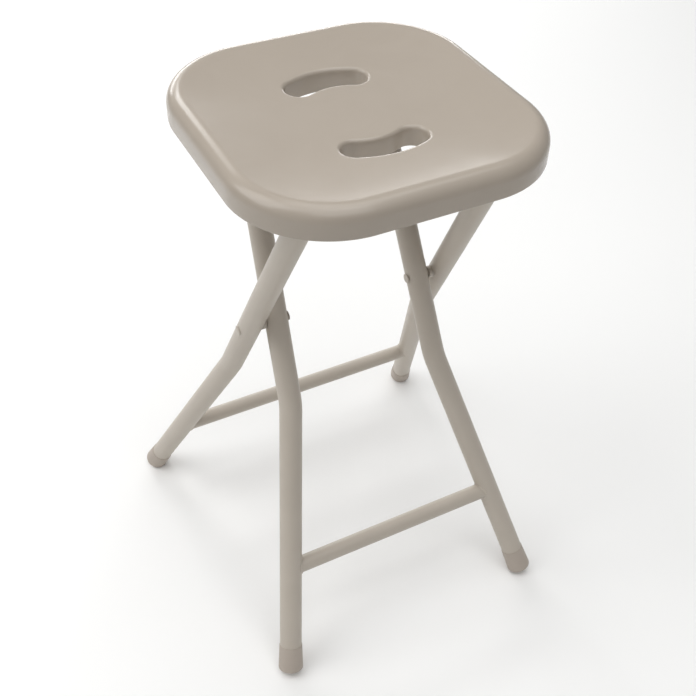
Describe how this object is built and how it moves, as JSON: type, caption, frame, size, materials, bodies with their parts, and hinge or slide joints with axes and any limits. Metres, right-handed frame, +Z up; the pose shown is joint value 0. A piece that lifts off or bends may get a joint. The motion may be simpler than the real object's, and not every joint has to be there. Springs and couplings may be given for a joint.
{
  "type": "folding stool",
  "caption": "Folding shower stool: a rounded-square moulded seat with kidney hand slots on crossed, splayed tube frames with capped feet.",
  "frame": {"origin": "on the floor, under the middle of the open stool", "axes": "+Z up; X along the crossbars and the fold axis; -Y is the front, where the seat is hinged, and +Y the back, where it is caught"},
  "size_m": [0.314, 0.2984, 0.4577],
  "materials": {
    "seat_plastic": "glossy warm grey",
    "enamel": "satin powder coat, warm grey",
    "foot_vinyl": "smooth soft vinyl, warm grey",
    "nylon": "nylon moulded in warm grey",
    "plated_steel": "bright zinc plate"
  },
  "bodies": {
    "outer_frame": {"foot_cap_back_left": "foot_vinyl", "foot_cap_back_right": "foot_vinyl", "outer_crossbar": "enamel", "outer_frame_tube": "enamel", "pivot_bush_left": "nylon", "pivot_bush_right": "nylon", "pivot_rivet_left": "enamel", "pivot_rivet_right": "enamel"},
    "inner_frame": {"foot_cap_front_left": "foot_vinyl", "foot_cap_front_right": "foot_vinyl", "inner_crossbar": "enamel", "inner_frame_tube": "enamel"},
    "seat": {"catch_left": "seat_plastic", "catch_right": "seat_plastic", "catch_screw_left": "plated_steel", "catch_screw_right": "plated_steel", "hinge_screw_back_left": "plated_steel", "hinge_screw_back_right": "plated_steel", "hinge_screw_front_left": "plated_steel", "hinge_screw_front_right": "plated_steel", "hinge_strap_left": "seat_plastic", "hinge_strap_right": "seat_plastic", "seat_shell": "seat_plastic"}
  },
  "joints": [
    {"name": "fold", "type": "hinge", "parent": "outer_frame", "child": "inner_frame", "pos_m": [0, 0, 0.2795], "axis": [1, 0, 0], "range_deg": [0, 46.5]},
    {"name": "seat_hinge", "type": "hinge", "parent": "outer_frame", "child": "seat", "pos_m": [0, -0.08025, 0.437], "axis": [1, 0, 0], "range_deg": [0, 93]}
  ],
  "couplings": [
    {"joint": "seat_hinge", "follows": "fold", "ratio": 2}
  ]
}
